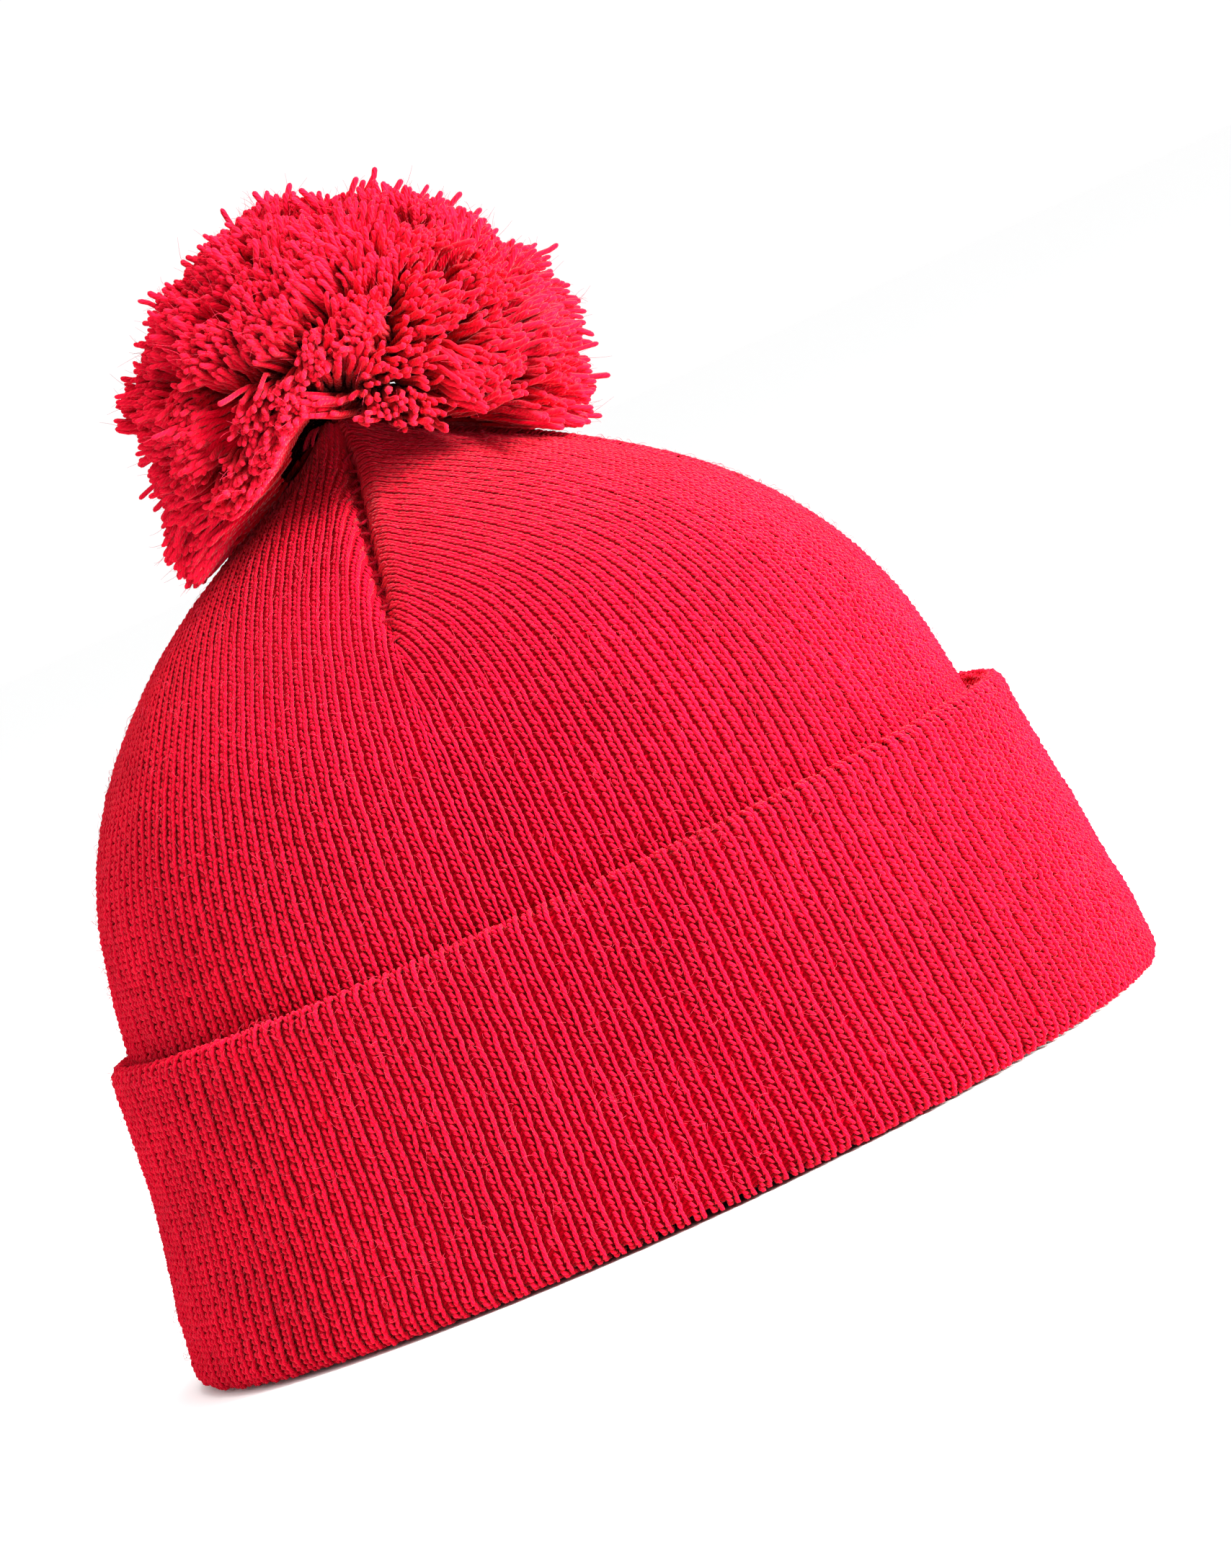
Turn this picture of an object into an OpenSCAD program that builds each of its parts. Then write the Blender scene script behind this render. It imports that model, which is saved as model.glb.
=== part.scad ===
// Pom pom beanie: a double-layer rib-knit tube hat with a turned-up cuff and a cut-yarn pompom.
// The hat stands on its brim, opened out as on a head. +Z runs up through the crown, +X points to
// the front of the head, and the origin is the middle of the brim on the surface it stands on.
// "Front", "back", "left" and "right" are the wearer's.

/* [Crown] */
// Height of the gathered tip above the brim
crown_height = 164.7; // [150:0.1:180]
// Front-to-back half length of the crown just above the cuff
crown_half_length = 94.1; // [86:0.1:102]
// Side-to-side width over front-to-back length
crown_oval = 0.8; // [0.76:0.01:0.9]
// How square the dome's shoulder is: larger is squarer
shoulder_power = 4.6; // [3.5:0.1:6]
// How blunt the tip is: 1 is a straight cone
tip_power = 0.97; // [0.9:0.01:1]
// Extra half length at the very bottom, where the brim flares
brim_flare = 10; // [4:0.5:14]
// Height at which the flare begins
flare_height = 70; // [50:1:90]

/* [Knit] */
// Thickness of one layer of rib knit
ply = 2.1; // [1.6:0.1:2.6]
// Air between two layers
ply_gap = 0.3; // [0.3:0.1:0.5]
// Air between the crown and the cuff that lies on it
cuff_gap = 0.4; // [0.4:0.1:1]

/* [Cuff] */
// Height of the middle of the rolled top edge
cuff_edge_height = 64; // [50:1:72]
// How much further the cuff stands off the crown at its top edge
cuff_stand_off = 1.1; // [0:0.1:3]

/* [Darts] */
// Height of the lowest stitch of each crown dart
dart_start_height = 124; // [115:1:135]
// How far a dart pulls the knit in
dart_depth = 2.6; // [1:0.1:3.5]
// Half width of the dip along a dart
dart_half_width = 4; // [3:0.5:6]
// Stitches in each dart
dart_stitches = 15; // [8:1:20]

/* [Pompom] */
// Radius of the ball of yarn
pompom_radius = 48; // [40:1:55]
// Distance of the ball's centre above the crown's tip
pompom_lift = 3.3; // [3:0.1:8]
// Distance of the ball's centre in front of the crown's axis
pompom_forward = 5; // [0:1:6]
// Downward slope of the hollow that sits over the crown's tip
pompom_seat_slope = 14; // [10:1:16]

/* [Label] */
// Width of the blank label
label_width = 24; // [16:1:24]
// Drop of the label below its sewn edge
label_drop = 34; // [20:1:40]
// Thickness of the folded label
label_thickness = 0.9; // [0.6:0.1:1.2]
// Height of the label's sewn top edge
label_top = 104; // [100:1:106]
// Distance of the sewn edge behind the crown's axis
label_behind = 75.4; // [74.5:0.1:75.4]

/* [Hidden] */
around = 60;
wall_steps = 15;
cuff_steps = 4;
outer_fold_steps = 9;
inner_fold_steps = 6;
dart_angles = [0, 90, 180, 270];
knit_red = [0.86, 0.07, 0.19];
lining_red = [0.78, 0.06, 0.17];
pompom_red = [0.90, 0.06, 0.20];
thread_red = [0.55, 0.03, 0.10];
label_cream = [0.93, 0.91, 0.86];

// Offsets from the outer face of the crown, outwards: the two faces of each layer
crown_faces = [-ply, 0];
lining_faces = [-2 * ply - ply_gap, -ply - ply_gap];
cuff_inner_faces = [cuff_gap, cuff_gap + ply];
cuff_outer_faces = [cuff_gap + ply + ply_gap, cuff_gap + 2 * ply + ply_gap];

// The brim fold is two nested half rolls round one centre line
fold_offset = cuff_gap / 2;
inner_fold_radii = [cuff_gap / 2, cuff_gap / 2 + ply];
outer_fold_radii = [cuff_gap / 2 + ply + ply_gap, cuff_gap / 2 + 2 * ply + ply_gap];
rest_flat = 0.2;
fold_height = outer_fold_radii[1] - rest_flat;
crown_bottom = fold_height + 0.4;

// The crown's layers stop at a small hole at the tip, which the pompom's tie passes through
tip_hole_radius = 3.4;
crown_top = height_at(tip_hole_radius);

// The tie: a strand pair that passes the hole, a short twisting length and a tilting length
strand_radius = 0.7;
strand_spacing = 0.75;
tie_twist_height = crown_top + 0.35;
tie_tilt_height = tie_twist_height + 2.1;
tie_top = tie_tilt_height + 6;
knot_radius = 3.4;
knot_top = crown_top - (2 * ply + ply_gap) - 1.2;

pompom_centre = [pompom_forward, 0, crown_height + pompom_lift];
waist_radius = 3.8;
waist_thickness = 0.8;
waist_cavity = 5;

$fn = 48;

// ---- The hat's wall ----

// Half length of the dome at height z, without the flare
function dome(z) =
    crown_half_length * pow(1 - pow(z / crown_height, shoulder_power), tip_power);

// Half length of the crown's outer face at height z
function half_length(z) =
    dome(z) + (z < flare_height ? brim_flare * pow(1 - z / flare_height, 2) : 0);

// Height at which the dome has half length r
function height_at(r) =
    crown_height * pow(1 - pow(r / crown_half_length, 1 / tip_power), 1 / shoulder_power);

// Change of the dome's half length per millimetre of height
function dome_slope(z) = (dome(z + 0.05) - dome(z - 0.05)) / 0.1;

// Point on the wall: z on the outer face, d out along its normal, angle round from the front
function wall_point(z, d, angle) =
    let (
        slope = dome_slope(max(z, 1)),
        across = d / sqrt(1 + slope * slope),
        r = half_length(z)
    )
    [(r + across) * cos(angle), (crown_oval * r + across) * sin(angle), z - slope * across];

// Smallest angle between two directions
function angle_between(a, b) = abs((a - b + 540) % 360 - 180);

// How far the darts pull the wall in at height z and this angle
function dart_dip(z, angle) =
    let (
        r = dome(z),
        nearest = min([for (a = dart_angles) angle_between(angle, a)]),
        distance = r * nearest * PI / 180,
        rise = min(max((z - dart_start_height + 4) / 12, 0), 1),
        tip_fade = min(r / 16, 1)
    )
    dart_depth * rise * tip_fade * exp(-pow(distance / dart_half_width, 2));

// How much further off the crown the cuff stands at height z
function stand_off(z) = cuff_stand_off * pow(z / cuff_edge_height, 1.5);

// Closed band whose section is a loop of [height, offset] points, swept round the oval
module band(section) {
    count = len(section);
    points = [
        for (j = [0:around - 1], p = section)
            let (angle = 360 * j / around)
            wall_point(p[0], p[1] - dart_dip(p[0], angle), angle)
    ];
    // The section's second half runs back down, so its quads split the other way, and layers nest
    faces = [
        for (j = [0:around - 1], i = [0:count - 1])
            let (
                next_j = (j + 1) % around,
                next_i = (i + 1) % count,
                a = j * count + i,
                b = j * count + next_i,
                c = next_j * count + next_i,
                d = next_j * count + i
            )
            each (i < count / 2 ? [[a, b, c], [a, c, d]] : [[a, b, d], [b, c, d]])
    ];
    polyhedron(points = points, faces = faces, convexity = 8);
}

// Heights from the crown's bottom to its tip, closer together where the dome turns in
function crown_heights() = [
    for (i = [0:wall_steps])
        crown_bottom + (crown_top - crown_bottom) * (1 - pow(1 - i / wall_steps, 1.6))
];

// One layer of the crown between two offsets
module crown_layer(faces) {
    heights = crown_heights();
    band(concat(
        [for (z = heights) [z, faces[1]]],
        [for (i = [wall_steps:-1:0]) [heights[i], faces[0]]]
    ));
}

// One layer of the cuff between two offsets
module cuff_layer(faces) {
    heights = [
        for (i = [0:cuff_steps])
            fold_height + (cuff_edge_height - fold_height) * i / cuff_steps
    ];
    band(concat(
        [for (z = heights) [z, faces[1] + stand_off(z)]],
        [for (i = [cuff_steps:-1:0]) [heights[i], faces[0] + stand_off(heights[i])]]
    ));
}

// Half roll of knit round the centre line [z, d]; side is 1 for a roll over the top, -1 below
module half_roll(z, d, radii, side, steps) {
    outside = [
        for (i = [0:steps])
            let (t = 180 * i / steps)
            [z + radii[1] * sin(t) * side, d + radii[1] * cos(t) * side]
    ];
    inside = [
        for (i = [steps:-1:0])
            let (t = 180 * i / steps)
            [z + radii[0] * sin(t) * side, d + radii[0] * cos(t) * side]
    ];
    band([for (p = concat(outside, inside)) [max(p[0], 0), p[1]]]);
}

// ---- Small parts ----

// Round rod from p to q
module rod(p, q, radius) {
    v = q - p;
    translate(p)
        rotate([0, acos(v[2] / norm(v)), atan2(v[1], v[0])])
            cylinder(h = norm(v), r = radius, $fn = 16);
}

// Row of stitches across one dart, at this offset from the floor of the dart's dip
module dart_row(angle, offset_from_dip) {
    lowest = dome(dart_start_height);
    highest = 12;
    half_stitch = 1.5;
    for (i = [0:dart_stitches - 1]) {
        r = lowest + (highest - lowest) * i / (dart_stitches - 1);
        z = height_at(r);
        offset = offset_from_dip - dart_dip(z, angle);
        half_turn = half_stitch / r * 180 / PI;
        rod(wall_point(z, offset, angle - half_turn), wall_point(z, offset, angle + half_turn), 0.4);
    }
}

// Stitches that close one dart in the outer layer, sunk between the dart's lips
module dart_seam(angle) {
    color(thread_red) dart_row(angle, 1.4);
}

// Stitches that close one dart in the lining, on the side that faces the head
module lining_dart(angle) {
    color(thread_red) dart_row(angle, lining_faces[0] - 1);
}

// Two strands side by side along the tie's axis
module strand_pair(from, to) {
    for (side = [-1, 1])
        translate([side * strand_spacing, 0, from])
            cylinder(h = to - from, r = strand_radius, $fn = 24);
}

// ---- Sub-parts ----

module crown_outer() {
    color(knit_red) crown_layer(crown_faces);
}

module crown_lining() {
    color(lining_red) crown_layer(lining_faces);
}

module cuff_inner_ply() {
    color(lining_red) cuff_layer(cuff_inner_faces);
}

module cuff_outer_ply() {
    color(knit_red) cuff_layer(cuff_outer_faces);
}

// The tube's fold along the cuff's top edge, joining the cuff's two layers
module cuff_top_fold() {
    middle = cuff_gap + ply + ply_gap / 2 + cuff_stand_off;
    color(knit_red)
        half_roll(cuff_edge_height, middle, [ply_gap / 2, ply_gap / 2 + ply], 1, inner_fold_steps);
}

// The turn-up at the brim, where the crown's outer layer becomes the cuff's inner layer
module brim_fold_inner() {
    color(lining_red)
        half_roll(fold_height, fold_offset, inner_fold_radii, -1, inner_fold_steps);
}

// The turn-up at the brim, where the lining becomes the cuff's outer layer; the hat rests on it
module brim_fold_outer() {
    color(knit_red)
        half_roll(fold_height, fold_offset, outer_fold_radii, -1, outer_fold_steps);
}

module dart_seam_front() { dart_seam(dart_angles[0]); }
module dart_seam_left() { dart_seam(dart_angles[1]); }
module dart_seam_back() { dart_seam(dart_angles[2]); }
module dart_seam_right() { dart_seam(dart_angles[3]); }
module lining_dart_front() { lining_dart(dart_angles[0]); }
module lining_dart_left() { lining_dart(dart_angles[1]); }
module lining_dart_back() { lining_dart(dart_angles[2]); }
module lining_dart_right() { lining_dart(dart_angles[3]); }

// Radial stitches that draw the tip of the crown together
module crown_gather_stitches() {
    color(thread_red)
        for (angle = [15:30:345])
            rod(wall_point(height_at(9), 0.6, angle), wall_point(height_at(5.2), 0.6, angle), 0.4);
}

// Knot inside the crown, with two cut ends, and the strands that pass up through the tip
module anchor_knot() {
    centre = [0, 0, knot_top - knot_radius];
    color(thread_red)
        union() {
            translate(centre) sphere(r = knot_radius);
            strand_pair(centre[2], tie_twist_height - 0.15);
            for (side = [-1, 1])
                rod(centre, centre + [side * 5, side * 2, -7], strand_radius);
        }
}

// Length of the tie that twists
module tie_yarn_lower() {
    color(thread_red) strand_pair(tie_twist_height + 0.15, tie_tilt_height - 0.3);
}

// Length of the tie that leans with the pompom
module tie_yarn_upper() {
    color(thread_red) strand_pair(tie_tilt_height + 0.3, tie_top);
}

// Binding that cinches the yarn ends at the middle of the ball
module pompom_waist_tie() {
    color(thread_red)
        translate([0, 0, tie_top - 1])
            rotate_extrude() translate([waist_radius, 0]) circle(r = waist_thickness, $fn = 24);
}

// What is cut away below the ball: a wide cone that rises to the height of its centre
module pompom_seat() {
    reach = 2 * pompom_radius;
    apex = pompom_centre[2];
    rotate_extrude($fn = 96)
        polygon([
            [0, apex],
            [reach, apex - reach * tan(pompom_seat_slope)],
            [reach, apex - reach],
            [0, apex - reach]
        ]);
}

// Ball of cut yarn, hollowed below so that it sits over the crown's tip with room to lean
module pompom_yarn() {
    cavity_bottom = crown_height - 10;
    color(pompom_red)
        difference() {
            translate(pompom_centre) sphere(r = pompom_radius, $fn = 96);
            pompom_seat();
            translate([0, 0, cavity_bottom])
                cylinder(h = tie_top + 1 - cavity_bottom, r = waist_cavity);
        }
}

// Blank folded label, hanging from its sewn top edge inside the back
module care_label() {
    color(label_cream)
        translate([-label_behind - label_thickness / 2, -label_width / 2, label_top - label_drop])
            cube([label_thickness, label_width, label_drop]);
}

// Row of stitches that holds the label's top edge to the lining
module label_stitches() {
    stitch = 4;
    color(thread_red)
        for (i = [-1.5:1:1.5]) {
            y = i * label_width / 4;
            rod(
                [-label_behind, y - stitch / 2, label_top + 0.8],
                [-label_behind, y + stitch / 2, label_top + 0.8],
                0.4
            );
        }
}

crown_outer();
crown_lining();
cuff_inner_ply();
cuff_outer_ply();
cuff_top_fold();
brim_fold_inner();
brim_fold_outer();
dart_seam_front();
dart_seam_left();
dart_seam_back();
dart_seam_right();
lining_dart_front();
lining_dart_left();
lining_dart_back();
lining_dart_right();
crown_gather_stitches();
anchor_knot();
tie_yarn_lower();
tie_yarn_upper();
pompom_waist_tie();
pompom_yarn();
care_label();
label_stitches();
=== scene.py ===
"""Pom pom beanie: rib knit, darts, cut-yarn pompom, ties and label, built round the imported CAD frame.

Shapes are worked out in millimetres in the hat's own frame and turned into metres when a mesh is made.
Every layer of knit is a band that runs over the hat's oval wall. A place in a band is s, the distance
along it, across, counted in ribs from the middle of a quarter of the hat, and out, above its face.
"""

import math

import bpy
import numpy as np
from mathutils import Matrix, Vector


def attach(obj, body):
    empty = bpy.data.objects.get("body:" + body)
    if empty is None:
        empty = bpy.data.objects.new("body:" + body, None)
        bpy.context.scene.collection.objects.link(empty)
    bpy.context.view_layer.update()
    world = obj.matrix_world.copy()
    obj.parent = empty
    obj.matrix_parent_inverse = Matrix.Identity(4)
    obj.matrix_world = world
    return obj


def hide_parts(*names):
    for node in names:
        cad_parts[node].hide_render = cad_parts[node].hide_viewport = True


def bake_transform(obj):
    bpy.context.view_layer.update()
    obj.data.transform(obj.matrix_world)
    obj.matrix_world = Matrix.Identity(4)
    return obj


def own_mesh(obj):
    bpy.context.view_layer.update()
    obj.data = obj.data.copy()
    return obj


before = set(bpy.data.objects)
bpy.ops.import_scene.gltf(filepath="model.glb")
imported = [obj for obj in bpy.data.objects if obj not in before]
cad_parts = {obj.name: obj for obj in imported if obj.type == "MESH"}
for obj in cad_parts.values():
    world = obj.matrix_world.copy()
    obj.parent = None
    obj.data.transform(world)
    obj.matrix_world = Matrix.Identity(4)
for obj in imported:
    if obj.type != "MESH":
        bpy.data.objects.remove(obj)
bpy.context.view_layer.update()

MM = 0.001

# The hat's wall, as in the CAD
CROWN_HEIGHT = 164.7
CROWN_HALF_LENGTH = 94.1
CROWN_OVAL = 0.8
SHOULDER_POWER = 4.6
TIP_POWER = 0.97
BRIM_FLARE = 10.0
FLARE_HEIGHT = 70.0
PLY = 2.1
PLY_GAP = 0.3
CUFF_GAP = 0.4
CUFF_EDGE_HEIGHT = 64.0
CUFF_STAND_OFF = 1.1
FOLD_HEIGHT = 4.5
FOLD_OFFSET = CUFF_GAP / 2
FOLD_RADIUS = CUFF_GAP / 2 + 2 * PLY + PLY_GAP
LINING_OFFSET = -2 * PLY - PLY_GAP
CUFF_FACE_OFFSET = CUFF_GAP + 2 * PLY + PLY_GAP
TIP_RADIUS = 3.4

# What only the visual knit has: the cuff's rolled and gaping edge, its ends, and a peak round the tie
CUFF_GAPE = 1.3
EDGE_DROP = 1.5
BRIM_LIP = 3.0
INNER_PLY_END = 9.0
TIP_PEAK = 5.5
TIP_PEAK_RADIUS = 10.0

# A dart: where it starts, over what height it deepens, and the radius below which it fades at the tip
DART_START = 124.0
DART_DEEPENS = 12.0
DART_FADE_RADIUS = 16.0
DART_EDGE_RISE = 8.0
DART_EDGE_DEPTH = 0.5

# Its section: a narrow groove, a lip at each side of it and a wide dip, with their half widths
GROOVE_DEPTH = 2.9
GROOVE_WIDTH = 1.15
LIP_HEIGHT = 0.9
LIP_DISTANCE = 4.5
LIP_WIDTH = 2.2
DIP_DEPTH = 1.3
DIP_WIDTH = 6.5
PUCKER = 0.25
PUCKER_RATE = 2.1

# The soft unevenness of the wall: height, waves round the hat, turn with height, and start of each wave
WALL_WAVES = (
    (0.5, 3, 0.03, 0.7),
    (0.35, 7, -0.05, 0.0),
    (0.22, 13, 0.11, 2.0),
    (0.2, 5, 0.16, 0.0),
)
WALL_UNEVENNESS = 0.6

# The knit: ribs in a quarter of the hat, and sizes of one stitch
GORES = 4
RIBS = 44
RIB_WIDTH = 3.1
TIGHTEST_RIB = 2.3
SQUEEZE_EASE = 0.06
DART_LEAN = 0.33
COURSE = 1.35
SINK = 0.6
STEEP_HEIGHT = 100.0
LEGS_START = 30.0
LEGS_SPLIT = 108.0

# The knit's relief is lower near the tip, and as the crown turns over from one height to the other
TIP_RELIEF = 0.3
TIP_RELIEF_RUN = 12.0
RELIEF_HEIGHTS = (90, 135)
RELIEF_SHARES = (1, 0.45)
# The knit's painted shade: its tone where the knit is flat, the yarn's height where it is darkest, and the
# rise over which it lightens
EVEN_TONE = 0.62
DARKEST_HEIGHT = -0.75
TONE_SPAN = 1.6

# How much the legs of stitches vary, and the ground, and whole ribs with their waves' heights and rates
SIDE_VARIES = 0.05
SLANT_VARIES = 0.05
PLACE_VARIES = 0.09
HEIGHT_VARIES = 0.09
WIDTH_VARIES = 0.08
TONE_VARIES = 0.06
GROUND_VARIES = 0.05
RIB_HEIGHT_VARIES = 0.05
RIB_WOBBLES = ((0.1, 0.31), (0.08, 0.83))
WOBBLE_SHIFT = 3

# Stray fibres: how many there are, and the rings, radius, taper, tone and size of one
CROWN_FIBRES = 5600
CUFF_FIBRES = 4000
POMPOM_FIBRES = 1500
FIBRE_RINGS = 6
FIBRE_RADIUS = 0.045
FIBRE_TAPER = 0.6
FIBRE_TONE = 0.9
FIBRE_LENGTH = (1.4, 4.0)
FIBRE_BEND = 1.6
FIBRE_HEIGHT = 0.85
FIBRE_LIFT = (0.1, 1.6)
FIBRE_ARCH = (1.5, 3.1)

# The pompom and the yarn that ties it
BALL_RADIUS = 46.0
BALL_CENTRE = np.array([6.0, 0.0, CROWN_HEIGHT + 5.0])
CORE_RADIUS = 27.0
CORE_RISE = 3.0
CORE_FLOOR = CROWN_HEIGHT + TIP_PEAK + 0.3
STRANDS = 12000
LOCKS = 150
TIE_TWIST_HEIGHT = 163.9
TIE_TILT_HEIGHT = 166.0
TIE_TOP = 172.0
TIE_RADIUS = 0.7
TIE_SPACING = 0.75
TIE_TURN_RATE = 0.9
TIE_LAP = 0.1
KNOT_HEIGHT = 154.4
KNOT_SIZE = 0.8
KNOT_YARN = 0.95
WAIST_RADIUS = 3.8
WAIST_YARN = 0.45
WAIST_TURNS = 3

# Sewing thread, and the stitches of the darts and of the tip's gather
DART_STITCHES = 15
DART_END_RADIUS = 12.0
DART_STITCH_DEPTH = 0.5
DART_STITCH_BOW = 0.35
DART_STITCH_SINK = 0.55
STITCH_RINGS = 9
SEAM_STITCH = 1.5
SEAM_THREAD = 0.34
GATHER_THREAD = 0.38
GATHER_REACH = (9, 5.2)
GATHER_RINGS = 8
THREAD_TONE = 0.8

# The blank label
LABEL_WIDTH = 24.0
LABEL_DROP = 34.0
LABEL_TOP = 104.0
LABEL_BEHIND = 75.4
LABEL_GAP = 0.24
LABEL_THREAD = 0.36
TAPE_THICKNESS = 0.36

# Yarn's look: its sheen, how its plies and fibres wind, what dye and fibres do to its colour, and painted
# shade in the gaps between plies, a little lighter on their crowns
RED_TINT = (1.0, 0.36, 0.34)
PLY_TWIST = math.radians(32)
FIBRES_ACROSS = 5.0
FIBRES_ALONG = 0.5
PATCH_SHADES = ((0.3, (0.86, 0.86, 0.86)), (0.7, (1.1, 1.1, 1.1)))
FIBRE_SHADES = ((0.25, (0.78, 0.7, 0.7)), (0.75, (1.14, 1.3, 1.3)))
PLY_SHADES = ((0.0, (0.7, 0.55, 0.6)), (0.45, (1.04, 1.08, 1.08)))


# ---- The wall of the hat ----

def dome(z):
    t = np.clip(z / CROWN_HEIGHT, 0, 1)
    return CROWN_HALF_LENGTH * (1 - t ** SHOULDER_POWER) ** TIP_POWER


def half_length(z):
    return dome(z) + BRIM_FLARE * np.clip(1 - z / FLARE_HEIGHT, 0, None) ** 2


def height_at(r):
    return CROWN_HEIGHT * (1 - (r / CROWN_HALF_LENGTH) ** (1 / TIP_POWER)) ** (1 / SHOULDER_POWER)


def dome_slope(z):
    z = np.clip(z, 1, CROWN_HEIGHT - 0.2)
    return (dome(z + 0.05) - dome(z - 0.05)) / 0.1


def tip_peak(r):
    """The knit is drawn up into a small peak where the tie gathers it."""
    return TIP_PEAK * np.exp(-(r / TIP_PEAK_RADIUS) ** 2)


def wall(z, d, angle):
    """Points at height z on the crown's outer face, d outwards along its normal, angle round from +X."""
    slope = dome_slope(z)
    across = d / np.sqrt(1 + slope ** 2)
    r = half_length(z)
    x = (r + across) * np.cos(angle)
    y = (CROWN_OVAL * r + across) * np.sin(angle)
    return np.stack(np.broadcast_arrays(x, y, z - slope * across + tip_peak(r)), -1)


def oval_angles():
    """Angle round the oval for each share of its length, and the length of the oval of half length 1."""
    angle = np.linspace(0, 2 * math.pi, 4001)
    step = np.hypot(np.sin(angle), CROWN_OVAL * np.cos(angle))
    length = np.concatenate([[0], np.cumsum((step[1:] + step[:-1]) / 2 * np.diff(angle))])
    return length / length[-1], angle, length[-1]


OVAL_SHARE, OVAL_ANGLE, OVAL_LENGTH = oval_angles()


def angle_of(share):
    return np.interp(share, OVAL_SHARE, OVAL_ANGLE)


def stand_off(z):
    return CUFF_STAND_OFF * np.clip(z / CUFF_EDGE_HEIGHT, 0, 1) ** 1.5


def gape(z, angle):
    """The cuff's top edge stands open at the front end of the hat."""
    return CUFF_GAPE * np.clip(z / CUFF_EDGE_HEIGHT, 0, 1.05) ** 5 * np.exp((np.cos(angle) - 1) * 4)


# Height up the cuff, then how far its ends stand out there, both alike and the front more than the back
CUFF_BULGE_HEIGHTS = (0, 5, 15, 35, 60)
CUFF_BULGE_BOTH = (-1.2, -0.6, 0.9, 0.9, -0.4)
CUFF_BULGE_FRONT = (-1.4, -1.0, -0.3, 0.9, 0.8)


def cuff_bulge(z, angle):
    """The cuff's front and back ends are rounder than the oval, and its brim draws in a little there."""
    front = np.cos(angle)
    both = np.interp(z, CUFF_BULGE_HEIGHTS, CUFF_BULGE_BOTH)
    return (both + np.interp(z, CUFF_BULGE_HEIGHTS, CUFF_BULGE_FRONT) * front) * front ** 2


def dart_dip(z, angle):
    """How far the darts pull the knit in: a narrow groove with puckered lips, and a wide soft dip."""
    quarter = math.pi / 2
    r = dome(z)
    nearest = np.abs((angle + quarter / 2) % quarter - quarter / 2)
    distance = r * nearest
    rise = np.clip((z - DART_START + 1) / DART_DEEPENS, 0, 1)
    fade = np.clip(r / DART_FADE_RADIUS, 0, 1)
    pucker = 1 + PUCKER * np.sin(z * PUCKER_RATE)
    groove = GROOVE_DEPTH * np.exp(-(distance / GROOVE_WIDTH) ** 2) * pucker
    lips = LIP_HEIGHT * np.exp(-((distance - LIP_DISTANCE) / LIP_WIDTH) ** 2)
    dip = DIP_DEPTH * np.exp(-(distance / DIP_WIDTH) ** 2)
    return (groove + dip - lips) * rise * fade


def undulation(z, angle):
    """The soft unevenness of a hat that isn't stretched tight."""
    waves = [
        height * np.sin(count * angle + turn * z + start)
        for height, count, turn, start in WALL_WAVES
    ]
    return WALL_UNEVENNESS * sum(waves)


# ---- Meshes ----

def face_corners(quads):
    """The corners of all faces in one list, and where each face starts. A repeated corner is left out."""
    same = quads == np.roll(quads, -1, axis=1)
    repeats = same.sum(1)
    whole = quads[repeats == 0]
    thin, thin_same = quads[repeats == 1], same[repeats == 1]
    triangles = thin[~thin_same].reshape(-1, 3)
    corners = np.concatenate([whole.ravel(), triangles.ravel()])
    starts = np.concatenate([
        np.arange(len(whole)) * 4,
        len(whole) * 4 + np.arange(len(triangles)) * 3,
    ])
    return corners, starts


def placed(name, data):
    """A new object in the scene for a mesh, light or camera."""
    thing = bpy.data.objects.new(name, data)
    bpy.context.scene.collection.objects.link(thing)
    return thing


def new_piece(name, points, faces, material, relief=None, uv=None):
    """A mesh object from points in millimetres and quads, with its tone, which carries painted shade, and
    yarn coordinates by point.
    """
    points = np.asarray(points, float).reshape(-1, 3)
    corners, starts = face_corners(np.asarray(faces, np.int64).reshape(-1, 4))
    used, corners = np.unique(corners, return_inverse=True)
    mesh = bpy.data.meshes.new(name)
    mesh.vertices.add(len(used))
    mesh.vertices.foreach_set("co", (points[used] * MM).astype(np.float32).ravel())
    mesh.loops.add(len(corners))
    mesh.loops.foreach_set("vertex_index", corners.astype(np.int32).ravel())
    mesh.polygons.add(len(starts))
    mesh.polygons.foreach_set("loop_start", starts.astype(np.int32))
    mesh.update(calc_edges=True)
    mesh.polygons.foreach_set("use_smooth", np.ones(len(starts), bool))
    if relief is not None:
        attribute = mesh.attributes.new("relief", "FLOAT", "POINT")
        attribute.data.foreach_set("value", np.asarray(relief, np.float32).ravel()[used])
    if uv is not None:
        uv_layer = mesh.uv_layers.new(name="yarn")
        values = np.asarray(uv, np.float32).reshape(-1, 2)[used][corners]
        uv_layer.data.foreach_set("uv", values.ravel())
    mesh.materials.append(material)
    return placed(name, mesh)


def grid_faces(index):
    """Quads between neighbouring entries of a table of point numbers."""
    return np.stack([index[:-1, :-1], index[:-1, 1:], index[1:, 1:], index[1:, :-1]], -1)


def tube_faces(shape):
    """Quads of closed tubes whose points are laid out as (tube, ring, corner)."""
    index = np.arange(np.prod(shape)).reshape(shape)
    wrap = np.concatenate([index, index[..., :1]], -1)
    here, ahead = wrap[:, :-1], wrap[:, 1:]
    faces = np.stack([here[..., :-1], here[..., 1:], ahead[..., 1:], ahead[..., :-1]], -1)
    return faces.reshape(-1, 4)


def unit(v):
    return v / np.maximum(np.linalg.norm(v, axis=-1, keepdims=True), 1e-9)


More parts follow.
